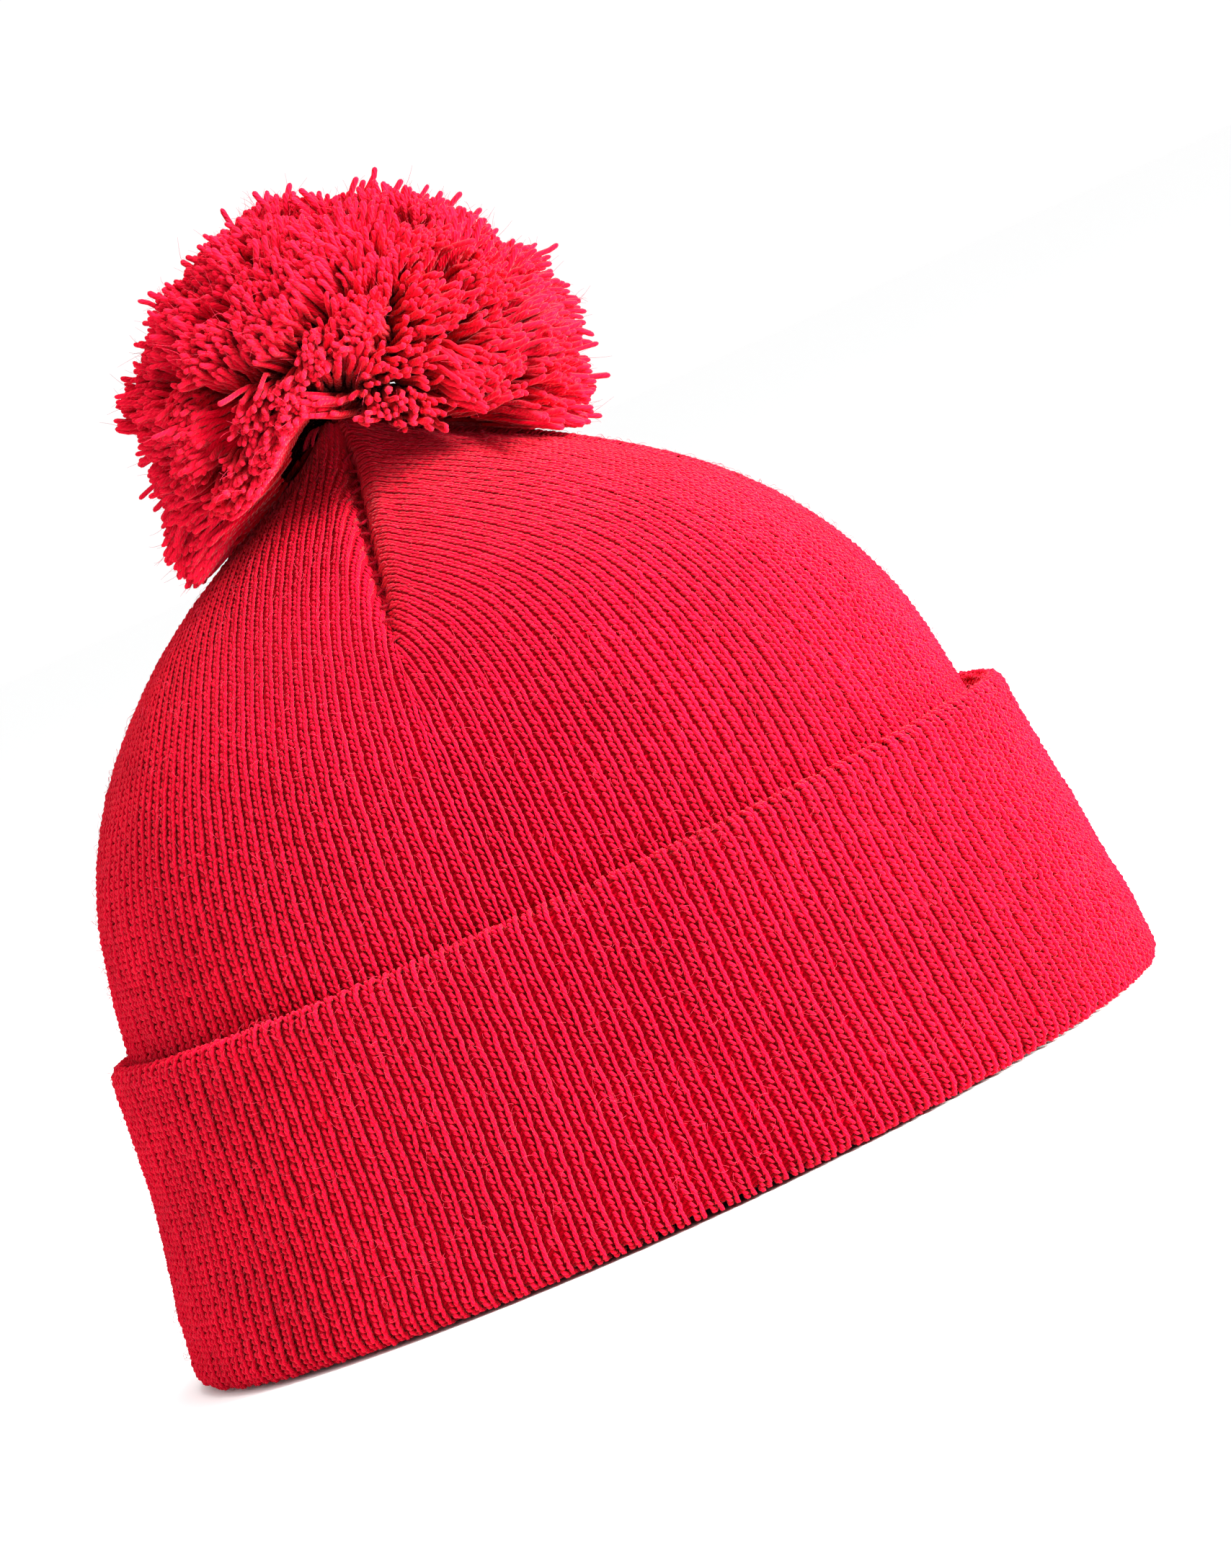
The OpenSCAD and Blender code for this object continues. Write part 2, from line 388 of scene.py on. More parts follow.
def yarn_tubes(paths, radius, sides):
    """Round tubes along paths (yarn, ring, xyz): points, faces, and yarn coordinates in millimetres."""
    count, rings = paths.shape[:2]
    tangent = unit(np.gradient(paths, axis=1))
    helper = np.broadcast_to(unit(np.cross(tangent[:, :1], np.array([0.3, 0.5, 0.81]))), tangent.shape)
    side = unit(helper - (helper * tangent).sum(-1, keepdims=True) * tangent)
    other = np.cross(tangent, side)
    run = np.cumsum(np.linalg.norm(np.diff(paths, axis=1, prepend=paths[:, :1]), axis=-1), axis=1)
    angle = np.arange(sides) * 2 * math.pi / sides
    ring = np.cos(angle)[:, None] * side[:, :, None, :] + np.sin(angle)[:, None] * other[:, :, None, :]
    radius = np.broadcast_to(radius, (count, rings))
    points = paths[:, :, None, :] + ring * radius[..., None, None]
    widest = radius.max(axis=1)[:, None, None]
    uv = np.stack(np.broadcast_arrays(angle * widest, run[..., None]), -1)
    return points, tube_faces((count, rings, sides)), uv


# ---- Bands of knit ----

def band(z, d, sign):
    """A band of knit along (z, d), with its face on the left of its path, or on the right if sign is -1."""
    dz, dd = np.gradient(z), np.gradient(d)
    length = np.hypot(dz, dd)
    step = np.hypot(np.diff(z) * np.sqrt(1 + dome_slope(z[1:]) ** 2), np.diff(d))
    return {
        "s": np.concatenate([[0], np.cumsum(step)]),
        "z": z,
        "d": d,
        "nz": -sign * dd / length,
        "nd": sign * dz / length,
        "relief": (np.clip((half_length(z) - TIP_RADIUS) / TIP_RELIEF_RUN, TIP_RELIEF, 1)
                   * np.interp(z, RELIEF_HEIGHTS, RELIEF_SHARES)),
        "gape": False,
    }


def crown_band(start, offset, sign):
    """From the brim to the tip, in steps of height where the wall is steep and then in steps of radius."""
    steep_z = np.arange(start, STEEP_HEIGHT, 0.5)
    top_z = height_at(np.arange(dome(STEEP_HEIGHT), TIP_RADIUS, -0.1))
    z = np.concatenate([steep_z, top_z])
    return band(z, np.full(len(z), float(offset)), sign)


def cuff_band():
    """From the lip inside the brim, round it, up the cuff's face, over its edge and down inside it."""
    lip_z = np.arange(FOLD_HEIGHT + BRIM_LIP, FOLD_HEIGHT, -0.3)
    turn = np.arange(math.pi, 0, -0.06)
    round_z = FOLD_HEIGHT - np.minimum(FOLD_RADIUS * np.sin(turn), FOLD_HEIGHT - 0.5)
    face_z = np.arange(FOLD_HEIGHT, CUFF_EDGE_HEIGHT - EDGE_DROP, 0.5)
    roll_radius = (CUFF_FACE_OFFSET - CUFF_GAP) / 2
    over = np.arange(0, math.pi, 0.12)
    over_z = CUFF_EDGE_HEIGHT - EDGE_DROP + (roll_radius + EDGE_DROP) * np.sin(over)
    inner_z = np.arange(CUFF_EDGE_HEIGHT - EDGE_DROP, INNER_PLY_END, -1.0)
    z = np.concatenate([lip_z, round_z, face_z, over_z, inner_z])
    d = np.concatenate([
        np.full(len(lip_z), LINING_OFFSET),
        FOLD_OFFSET + FOLD_RADIUS * np.cos(turn),
        CUFF_FACE_OFFSET + stand_off(face_z),
        CUFF_GAP + roll_radius + CUFF_STAND_OFF + roll_radius * np.cos(over),
        CUFF_GAP + stand_off(inner_z),
    ])
    cuff = band(z, d, 1)
    cuff["gape"] = True
    return cuff


def free_pitch(z):
    """The width of a rib where nothing is gathered, in millimetres."""
    return half_length(z) * OVAL_LENGTH / (RIBS * GORES)


def leaned(z, across):
    """Where ribs lie once they can get no narrower: most are swallowed by the dart on their lower side."""
    tightness = TIGHTEST_RIB / free_pitch(z) - 1
    squeeze = 1 + SQUEEZE_EASE * np.logaddexp(0, tightness / SQUEEZE_EASE)
    return DART_LEAN * RIBS + (across - DART_LEAN * RIBS) * squeeze


def in_band(layer, s, across, out, gore):
    """Points of a layer of knit. Its ribs run parallel in a quarter until the darts swallow them."""
    keys = ("z", "d", "nz", "nd", "relief")
    z, d, nz, nd, relief = (np.interp(s, layer["s"], layer[key]) for key in keys)
    across = np.clip(leaned(z, across), -RIBS / 2, RIBS / 2)
    angle = angle_of((gore + 0.5 + across / RIBS) / GORES)
    edge = np.clip((RIBS / 2 - np.abs(across)) * 0.8, 0, 1)
    in_dart = np.clip((z - DART_START + DART_EDGE_RISE) / DART_EDGE_RISE, 0, 1)
    out = out * relief - SINK - DART_EDGE_DEPTH * in_dart * (1 - edge)
    shift = undulation(z, angle) - dart_dip(z, angle)
    if layer["gape"]:
        shift = shift + gape(z, angle) + cuff_bulge(z, angle)
    return wall(z + out * nz, d + shift + out * nd, angle)


def inside_gore(layer, s, across, spare):
    """Whether a place is within its quarter of the hat, or at most some ribs beyond its edge."""
    return np.abs(leaned(np.interp(s, layer["s"], layer["z"]), across)) <= RIBS / 2 + spare


# One rib across: x of each column, and its height and tone at the rung and at the hole of each course; the
# tone is painted shade, darkest in the holes
BACKING = (
    (-1.55, (-0.35, -0.9), (0.6, 0.15)),
    (-0.95, (-0.4, -0.45), (0.4, 0.25)),
    (0.0, (-0.5, -0.85), (0.4, 0.1)),
    (0.95, (-0.45, -0.4), (0.25, 0.4)),
)
LINING = (
    (-1.55, (-0.7, -1.3), (0.35, 0.0)),
    (-0.75, (0.75, 0.1), (1.0, 0.6)),
    (0.0, (-0.6, -0.8), (0.3, 0.15)),
    (0.75, (0.1, 0.75), (0.6, 1.0)),
)


def evened(layer, s, tone):
    """Where the knit is flatter, its grooves are less deep and so their painted shade is less dark."""
    relief = np.interp(s, layer["s"], layer["relief"])
    return tone * relief + EVEN_TONE * (1 - relief)


def trimmed(index, keep):
    """Point numbers of a table, where the ones past the edges of the quarter repeat the last one inside."""
    final = keep.shape[1] - 1
    first = np.argmax(keep, axis=1)
    last = final - np.argmax(keep[:, ::-1], axis=1)
    column = np.clip(
        np.arange(keep.shape[1])[None, :],
        (first - 1).clip(0)[:, None],
        (last + 1).clip(max=final)[:, None],
    )
    return np.take_along_axis(index, column, axis=1)


def knit_surface(name, layer, gore, columns, material):
    """A quarter of a layer as one surface: its grooves, rungs and holes, two rows of points a course."""
    x = np.array([column[0] for column in columns])
    height = np.array([column[1] for column in columns])
    tone = np.array([column[2] for column in columns])
    place = (np.arange(RIBS)[:, None] - RIBS / 2 + 0.5 + x / RIB_WIDTH).ravel()
    place = np.append(place, place[0] + RIBS)
    kind = np.append(np.tile(np.arange(len(x)), RIBS), 0)
    s = np.arange(0, layer["s"][-1], COURSE / 2)
    row = np.arange(len(s)) % 2
    rng = np.random.default_rng(gore + 40)
    out = height[kind][:, row].T + rng.normal(size=(len(s), len(place))) * GROUND_VARIES
    out[:, -1] = out[:, 0]
    s_grid, across = np.broadcast_arrays(s[:, None], place)
    points = in_band(layer, s_grid, across, out, gore)
    keep = inside_gore(layer, s_grid, across, 0)
    index = np.arange(points.shape[0] * points.shape[1]).reshape(keep.shape)
    faces = grid_faces(trimmed(index, keep))
    # Painted shade: the ground is darkest in its holes and less dark on its rungs
    relief = evened(layer, s_grid, tone[kind][:, row].T)
    uv = np.stack([across * RIB_WIDTH, s_grid], -1)
    return new_piece(name, points, faces, material, relief, uv)


# The two legs of a stitch: x, y along the rib, height, and the yarn's radius
LEFT_LEG = np.array([
    (-0.12, -0.45, -0.6, 0.3),
    (-0.34, 0.05, 0.32, 0.46),
    (-0.62, 0.62, 0.56, 0.5),
    (-0.88, 1.15, 0.3, 0.44),
    (-0.82, 1.5, -0.4, 0.3),
])
RIGHT_LEG = np.array([
    (0.3, -0.7, -0.6, 0.3),
    (0.5, -0.1, 0.32, 0.44),
    (0.68, 0.7, 0.6, 0.5),
    (0.74, 1.5, 0.35, 0.44),
    (0.62, 2.05, -0.4, 0.3),
])
LEG_CORNERS = np.radians([-42, 42, 132, -132])
LEG_UV_RADIUS = 0.48


def leg_tubes(layer, gore, leg, course, across, lift, rng):
    """One leg of each stitch: points, faces, tone with painted shade, and yarn coordinates. lift is how its
    rib varies.
    """
    uneven = rng.normal(size=(len(course), 5))
    slant = SLANT_VARIES * (leg[:, 1] - 0.5) * uneven[:, 1:2]
    x = leg[:, 0] + SIDE_VARIES * uneven[:, :1] + slant
    y = leg[:, 1] + PLACE_VARIES * uneven[:, 2:3] + course * COURSE
    h = leg[:, 2] + HEIGHT_VARIES * uneven[:, 3:4] + RIB_HEIGHT_VARIES * lift[:, :1]
    radius = (leg[:, 3] * (1 + WIDTH_VARIES * uneven[:, 4:5]))[..., None]
    wobble = sum(
        size * np.sin(y * rate + lift[:, i:i + 1] * WOBBLE_SHIFT)
        for i, (size, rate) in enumerate(RIB_WOBBLES, start=1)
    )
    corner_x = radius * np.sin(LEG_CORNERS)
    corner_h = h[..., None] + radius * np.cos(LEG_CORNERS)
    pitch = np.maximum(free_pitch(np.interp(y, layer["s"], layer["z"])), TIGHTEST_RIB)[..., None]
    place = across[..., None] + (x + wobble)[..., None] / RIB_WIDTH + corner_x / pitch
    points = in_band(layer, np.broadcast_to(y[..., None], place.shape), place, corner_h, gore)
    run = (y - y[:, :1] + 20 * rng.random((len(y), 1)))[..., None]
    uv = np.stack(np.broadcast_arrays(LEG_UV_RADIUS * LEG_CORNERS, run), -1)
    # Painted shade: the lower a corner of the yarn lies, the darker, so the legs' ends and backs are
    # darkest; each stitch's tone also varies at random
    tone = np.clip((corner_h - DARKEST_HEIGHT) / TONE_SPAN, 0, 1) + TONE_VARIES * uneven[:, :1, None]
    relief = evened(layer, y[..., None], tone)
    return points.reshape(-1, 3), tube_faces(points.shape[:3]), relief.ravel(), uv.reshape(-1, 2)


def knit_legs(name, layer, gore, s_range, material, seed):
    """The stitches that stand up from a quarter of a layer: two legs of yarn for each rib and course."""
    rng = np.random.default_rng(seed * 10 + gore)
    courses = np.arange(math.floor(s_range[0] / COURSE), math.floor(s_range[1] / COURSE))
    course, rib = [grid.ravel() for grid in np.meshgrid(courses, np.arange(RIBS), indexing="ij")]
    across = rib - RIBS / 2 + 0.5
    wanted = inside_gore(layer, course * COURSE, across, 0.35)
    course, across = course[wanted][:, None], across[wanted][:, None]
    lift = rng.normal(size=(RIBS, 3))[rib[wanted]]
    legs = [leg_tubes(layer, gore, leg, course, across, lift, rng) for leg in (LEFT_LEG, RIGHT_LEG)]
    points, faces, relief, uv = zip(*legs)
    faces = np.concatenate([faces[0], faces[1] + len(points[0])])
    points, relief, uv = (np.concatenate(part) for part in (points, relief, uv))
    return new_piece(name, points, faces, material, relief, uv)


def fibre_piece(name, paths, material):
    """Single fibres along paths (fibre, ring, xyz), each thinner towards its end."""
    t = np.linspace(0, 1, FIBRE_RINGS)[None, :]
    points, faces, uv = yarn_tubes(paths, FIBRE_RADIUS * (1 - FIBRE_TAPER * t), 3)
    return new_piece(name, points, faces, material, np.full(points.shape[:-1], FIBRE_TONE), uv)


def knit_fuzz(name, layer, s_range, count, material, seed):
    """Stray fibres that lie over the knit and lift off it a little."""
    rng = np.random.default_rng(seed)
    t = np.linspace(0, 1, FIBRE_RINGS)[None, :]
    each = (count // GORES, 1)
    paths = []
    for gore in range(GORES):
        s = rng.uniform(*s_range, each)
        across = rng.uniform(-RIBS / 2, RIBS / 2, each)
        heading = rng.uniform(0, 2 * math.pi, each) + rng.normal(size=each) * FIBRE_BEND * t
        length = rng.uniform(*FIBRE_LENGTH, each)
        along = s + np.cumsum(np.sin(heading), axis=1) * length / FIBRE_RINGS
        over = across + np.cumsum(np.cos(heading), axis=1) * length / FIBRE_RINGS / RIB_WIDTH
        lift = rng.uniform(*FIBRE_LIFT, each)
        arch = rng.uniform(*FIBRE_ARCH, each)
        out = FIBRE_HEIGHT + lift * np.sin(t * arch)
        wanted = inside_gore(layer, s[:, 0], across[:, 0], -1)
        paths.append(in_band(layer, along, over, out, gore)[wanted])
    return fibre_piece(name, np.concatenate(paths), material)


# ---- Materials ----

def set_inputs(node, values):
    for socket, value in values.items():
        node.inputs[socket].default_value = value


def shader(name, base, roughness, sheen, tint, specular=0.0):
    material = bpy.data.materials.new(name)
    material.use_nodes = True
    tree = material.node_tree
    principled = tree.nodes["Principled BSDF"]
    set_inputs(principled, {
        "Base Color": (*base, 1),
        "Roughness": roughness,
        "Sheen Weight": sheen,
        "Sheen Roughness": 0.4,
        "Sheen Tint": (*tint, 1),
        "Specular IOR Level": specular,
    })
    return material, tree, principled


def shaded(tree, share, colour, shade):
    """A colour multiplied by a shade, to a share of the full effect."""
    mix = tree.nodes.new("ShaderNodeMix")
    mix.data_type = "RGBA"
    mix.blend_type = "MULTIPLY"
    mix.inputs[0].default_value = share
    tree.links.new(colour, mix.inputs[6])
    tree.links.new(shade, mix.inputs[7])
    return mix.outputs[2]


def ramp(tree, value, stops):
    node = tree.nodes.new("ShaderNodeValToRGB")
    tree.links.new(value, node.inputs[0])
    elements = node.color_ramp.elements
    while len(elements) < len(stops):
        elements.new(0.5)
    for element, (place, colour) in zip(elements, stops):
        element.position = place
        element.color = (*colour, 1)
    return node.outputs[0]


def math_node(tree, operation, a, b=0.0):
    node = tree.nodes.new("ShaderNodeMath")
    node.operation = operation
    for socket, value in zip(node.inputs, (a, b)):
        if isinstance(value, bpy.types.NodeSocket):
            tree.links.new(value, socket)
        else:
            socket.default_value = value
    return node.outputs[0]


def noise(tree, vector, scale, roughness=0.5):
    node = tree.nodes.new("ShaderNodeTexNoise")
    set_inputs(node, {"Scale": scale, "Detail": 3.0, "Roughness": roughness})
    tree.links.new(vector, node.inputs["Vector"])
    return node.outputs["Fac"]


def bump(tree, height, strength, distance, principled):
    node = tree.nodes.new("ShaderNodeBump")
    set_inputs(node, {"Strength": strength, "Distance": distance})
    tree.links.new(height, node.inputs["Height"])
    tree.links.new(node.outputs["Normal"], principled.inputs["Normal"])


def wound_plies(tree, ply_spacing):
    """Two patterns that wind round the yarn: its plies, and the fibres drawn out along them."""
    uv = tree.nodes.new("ShaderNodeUVMap")
    uv.uv_map = "yarn"
    split = tree.nodes.new("ShaderNodeSeparateXYZ")
    tree.links.new(uv.outputs["UV"], split.inputs[0])
    around = math_node(tree, "MULTIPLY", split.outputs[0], math.cos(PLY_TWIST))
    along = math_node(tree, "MULTIPLY", split.outputs[1], math.sin(PLY_TWIST))
    over = math_node(tree, "ADD", around, along)
    back = math_node(tree, "SUBTRACT", split.outputs[1], around)
    turn = math_node(tree, "MULTIPLY", over, 2 * math.pi / ply_spacing)
    ply = math_node(tree, "SINE", turn)
    drawn_out = tree.nodes.new("ShaderNodeCombineXYZ")
    tree.links.new(math_node(tree, "MULTIPLY", over, FIBRES_ACROSS), drawn_out.inputs[0])
    tree.links.new(math_node(tree, "MULTIPLY", back, FIBRES_ALONG), drawn_out.inputs[1])
    fibres = noise(tree, drawn_out.outputs[0], 1.8, 0.6)
    plies = math_node(tree, "MULTIPLY", math_node(tree, "ADD", ply, 1.0), 0.5)
    return plies, fibres


def yarn_material(name, deep, middle, top, sheen, tint=RED_TINT, ply_depth=0.6, ply_spacing=0.42):
    """Plied acrylic yarn: plies and fibres that wind round each strand, with painted shade: deeper red
    where it lies deep.
    """
    material, tree, principled = shader(name, middle, 0.8, sheen, tint)
    plies, fibres = wound_plies(tree, ply_spacing)
    relief = tree.nodes.new("ShaderNodeAttribute")
    relief.attribute_name = "relief"
    # Painted shade: the relief attribute picks a darker red where the yarn lies deep
    colour = ramp(tree, relief.outputs["Fac"], [(0.0, deep), (0.5, middle), (1.0, top)])
    coordinates = tree.nodes.new("ShaderNodeTexCoord")
    patches = noise(tree, coordinates.outputs["Object"], 45.0)
    # Random patches of dye, fibre streaks, and the plies' painted shade, each multiplied into the colour
    for share, pattern, shades in (
        (1.0, patches, PATCH_SHADES),
        (0.8, fibres, FIBRE_SHADES),
        (ply_depth, plies, PLY_SHADES),
    ):
        colour = shaded(tree, share, colour, ramp(tree, pattern, shades))
    tree.links.new(colour, principled.inputs["Base Color"])
    height = math_node(tree, "ADD", plies, math_node(tree, "MULTIPLY", fibres, 0.5))
    bump(tree, height, 0.6, 0.00022, principled)
    return material


def tape_material(name, base):
    """Woven satin tape: fine crossed threads and a soft shine."""
    material, tree, principled = shader(name, base, 0.5, 0.2, (1, 1, 1), 0.4)
    coordinates = tree.nodes.new("ShaderNodeTexCoord")
    threads = []
    for direction, scale in (("Z", 900.0), ("Y", 500.0)):
        wave = tree.nodes.new("ShaderNodeTexWave")
        wave.bands_direction = direction
        wave.inputs["Scale"].default_value = scale
        tree.links.new(coordinates.outputs["Object"], wave.inputs["Vector"])
        threads.append(wave.outputs["Fac"])
    weave = math_node(tree, "MULTIPLY", *threads)
    shade = ramp(tree, weave, [(0.0, tuple(0.86 * c for c in base)), (1.0, base)])
    tree.links.new(shade, principled.inputs["Base Color"])
    bump(tree, weave, 0.4, 0.0002, principled)
    return material


# ---- Knit pieces ----

def finish_piece(piece, nodes, body=None):
    """Hide the CAD nodes that a piece stands in for and, where it moves as a whole, attach it to the body
    that it rides on.
    """
    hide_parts(*nodes)
    if body:
        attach(piece, body)


def blend_to_cuff(piece):
    """The piece's place is baked into its mesh, in the hat's frame."""
    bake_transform(piece)


def squash_with_cuff(piece):
    """The piece rides on the cuff's body, with a mesh of its own."""
    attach(piece, "cuff")
    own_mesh(piece)


GORE_NAMES = ("front_left", "back_left", "back_right", "front_right")
CUFF_NODES = ("cuff_outer_ply", "cuff_top_fold", "brim_fold_outer", "cuff_inner_ply", "brim_fold_inner")


def distance_at(layer, z):
    return float(np.interp(z, layer["z"], layer["s"]))


def make_crown(material, fuzz_material):
    layer = crown_band(FOLD_HEIGHT, 0, 1)
    start, split = distance_at(layer, LEGS_START), distance_at(layer, LEGS_SPLIT)
    end = layer["s"][-1]
    for gore, side in enumerate(GORE_NAMES):
        pieces = [
            knit_surface("crown_ground_" + side, layer, gore, BACKING, material),
            knit_legs("crown_ribs_lower_" + side, layer, gore, (start, split), material, 1),
            knit_legs("crown_ribs_upper_" + side, layer, gore, (split, end), material, 2),
        ]
        for piece in pieces:
            finish_piece(piece, ["crown_outer"])
            blend_to_cuff(piece)
    fuzz_range = (distance_at(layer, CUFF_EDGE_HEIGHT + 4), end - 8)
    fuzz = knit_fuzz("crown_fuzz", layer, fuzz_range, CROWN_FIBRES, fuzz_material, 3)
    blend_to_cuff(fuzz)


def make_lining(material):
    layer = crown_band(FOLD_HEIGHT + 1.5, LINING_OFFSET, -1)
    for gore, side in enumerate(GORE_NAMES):
        piece = knit_surface("lining_knit_" + side, layer, gore, LINING, material)
        finish_piece(piece, ["crown_lining"])
        blend_to_cuff(piece)


def make_cuff(material, fuzz_material):
    """The cuff's ribs run from its lip over its edge and a little way down behind it."""
    layer = cuff_band()
    behind = CUFF_EDGE_HEIGHT - INNER_PLY_END
    ribs = (0, layer["s"][-1] - behind + 5)
    for gore, side in enumerate(GORE_NAMES):
        ground = knit_surface("cuff_ground_" + side, layer, gore, BACKING, material)
        legs = knit_legs("cuff_ribs_" + side, layer, gore, ribs, material, 4)
        for piece in (ground, legs):
            finish_piece(piece, CUFF_NODES)
            squash_with_cuff(piece)
    fuzz = knit_fuzz("cuff_fuzz", layer, (18, ribs[1] - 6), CUFF_FIBRES, fuzz_material, 5)
    squash_with_cuff(fuzz)


# ---- Seams, ties and knot ----

def thread_piece(name, paths, radius, material, sides=7):
    points, faces, uv = yarn_tubes(np.asarray(paths, float), radius, sides)
    return new_piece(name, points, faces, material, np.full(points.shape[:-1], THREAD_TONE), uv)


def closed_ends(rings, radius):
    """A yarn's radius along its length, drawn in to nothing at both ends."""
    t = np.linspace(0, 1, rings)
    return radius * np.clip(np.minimum(t, 1 - t) * 8 + 0.05, 0, 1) ** 0.5


def dart_stitches(angle, offset, face):
    """Stitches across a dart, one under the other, each bowed over the knit that it holds."""
    r = np.linspace(dome(DART_START), DART_END_RADIUS, DART_STITCHES)[:, None]
    t = np.linspace(-1, 1, STITCH_RINGS)[None, :]
    z = height_at(r) + 0.25 * np.sin(t * 2 + r)
    bow = DART_STITCH_BOW * (1 - t ** 2)
    depth = offset - dart_dip(height_at(r), angle) * DART_STITCH_SINK + face * bow
    return wall(z, depth, angle + t * SEAM_STITCH / r)


def make_dart_seams(material):
    quarter = math.pi / 2
    radius = closed_ends(STITCH_RINGS, SEAM_THREAD)
    for i, side in enumerate(("front", "left", "back", "right")):
        outside = dart_stitches(i * quarter, -DART_STITCH_DEPTH, 1)
        seam = thread_piece("dart_thread_" + side, outside, radius, material)
        finish_piece(seam, ["dart_seam_" + side], "crown")
        inside = dart_stitches(i * quarter, LINING_OFFSET - 0.4, -1)
        lining = thread_piece("lining_dart_thread_" + side, inside, radius, material)
        finish_piece(lining, ["lining_dart_" + side], "crown")


def make_gather(material):
    """Stitches that run in towards the tie, all round the tip."""
    angle = np.radians(np.arange(15, 360, 30))[:, None]
    r = np.linspace(*GATHER_REACH, GATHER_RINGS)[None, :]
    lift = 0.5 + 0.4 * np.sin(np.linspace(0, math.pi, GATHER_RINGS))
    paths = wall(height_at(r), lift, angle)
    radius = closed_ends(GATHER_RINGS, GATHER_THREAD)
    gather = thread_piece("tip_gather_thread", paths, radius, material)
    finish_piece(gather, ["crown_gather_stitches"], "crown")


def strand_pair(bottom, top, rings):
    """Two strands wound round each other, which meet the next length of the same pair."""
    z = np.linspace(bottom, top, rings)
    turn = z * TIE_TURN_RATE
    return np.stack([
        np.stack([side * TIE_SPACING * np.cos(turn), side * TIE_SPACING * np.sin(turn), z], -1)
        for side in (1, -1)
    ])


def overhand_knot(centre, size, rings):
    """A closed overhand knot pulled up small."""
    t = np.linspace(0, 2 * math.pi, rings)
    x = np.sin(t) + 2 * np.sin(2 * t)
    y = np.cos(t) - 2 * np.cos(2 * t)
    return centre + np.stack([x, y, -1.5 * np.sin(3 * t)], -1)[None] * size


def make_knot(material):
    """The knot inside the crown, the two strands from it up through the tip, and its two cut ends."""
    centre = np.array([0, 0, KNOT_HEIGHT])
    loops = overhand_knot(centre, KNOT_SIZE, 90)
    knot = thread_piece("anchor_knot_loops", loops, KNOT_YARN, material, 10)
    finish_piece(knot, ["anchor_knot"], "crown")
    through_tip = strand_pair(KNOT_HEIGHT + 1, TIE_TWIST_HEIGHT + TIE_LAP, 30)
    strands = thread_piece("anchor_knot_strands", through_tip, TIE_RADIUS, material)
    fall = np.linspace(0, 1, 14)[:, None]
    ends = []
    for side in (-1, 1):
        drop = fall * np.array([side * 5, side * 2, -7])
        bow = np.array([0, side * 1.2, 0]) * fall * (1 - fall)
        ends.append(centre + drop + bow)
    cut_ends = thread_piece("anchor_knot_cut_ends", ends, closed_ends(14, TIE_RADIUS), material)
    for piece in (strands, cut_ends):
        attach(piece, "crown")


def make_tie(material):
    """The two lengths of the tie above the tip: the lower one twists and the upper one leans."""
    for name, bottom, top, body in (
        ("tie_yarn_lower", TIE_TWIST_HEIGHT - TIE_LAP, TIE_TILT_HEIGHT + TIE_LAP, "tie_lower"),
        ("tie_yarn_upper", TIE_TILT_HEIGHT - TIE_LAP, TIE_TOP, "tie_upper"),
    ):
        tie = thread_piece(name + "_strands", strand_pair(bottom, top, 18), TIE_RADIUS, material, 10)
        finish_piece(tie, [name], body)


def make_waist(material):
    """The winding that binds the pompom's strands at their middle."""
    rings = 110
    turn = np.linspace(0, 2 * WAIST_TURNS * math.pi, rings)
    height = TIE_TOP - 1 + np.linspace(-0.8, 0.8, rings)
    coil = np.stack([WAIST_RADIUS * np.cos(turn), WAIST_RADIUS * np.sin(turn), height], -1)
    waist = thread_piece("pompom_waist_winding", coil[None], closed_ends(rings, WAIST_YARN), material, 8)
    finish_piece(waist, ["pompom_waist_tie"], "pompom")


# ---- The label ----

def folded_path():
    """The section of the folded tape from its sewn edge: down one leaf, round the fold and up the other."""
    rows = 34
    fold = np.linspace(math.pi, 2 * math.pi, 13)[1:-1]
    down = np.linspace(0, LABEL_DROP - LABEL_GAP, rows)
    x = np.concatenate([np.full(rows, -LABEL_GAP), LABEL_GAP * np.cos(fold), np.full(rows, LABEL_GAP)])
    z = np.concatenate([-down, LABEL_GAP - LABEL_DROP + LABEL_GAP * np.sin(fold), -down[::-1]])
    return x, z


def make_label(material):
    """A blank tape folded in half, its two ends together at the sewn top edge."""
    path_x, path_z = folded_path()
    normal = unit(np.stack([np.gradient(path_z), -np.gradient(path_x)], -1)) * TAPE_THICKNESS / 2
    width = np.linspace(-LABEL_WIDTH / 2, LABEL_WIDTH / 2, 25)
    rows, columns = len(path_x), len(width)
    drop = np.clip(-path_z / LABEL_DROP, 0, 1)[:, None]
    curl = 0.5 * drop ** 2 * np.cos(width * 0.16) + 0.25 * drop * np.sin(width * 0.35 + 1)
    sides = []
    for side in (1, -1):
        x = (path_x + side * normal[:, 0])[:, None] + curl - LABEL_BEHIND
        z = np.broadcast_to((path_z + side * normal[:, 1])[:, None] + LABEL_TOP, x.shape)
        sides.append(np.stack([x, np.broadcast_to(width, x.shape), z], -1))
    index = np.arange(2 * rows * columns).reshape(2, rows, columns)
    ring = np.concatenate([index[0], index[1][:, ::-1], index[0][:, :1]], 1)
    faces = [grid_faces(ring).reshape(-1, 4)]
    for end, order in ((0, 1), (-1, -1)):
        faces.append(grid_faces(index[:, end, :][::order]).reshape(-1, 4))
    label = new_piece("care_label_tape", np.stack(sides), np.concatenate(faces), material)
    finish_piece(label, ["care_label"], "label")


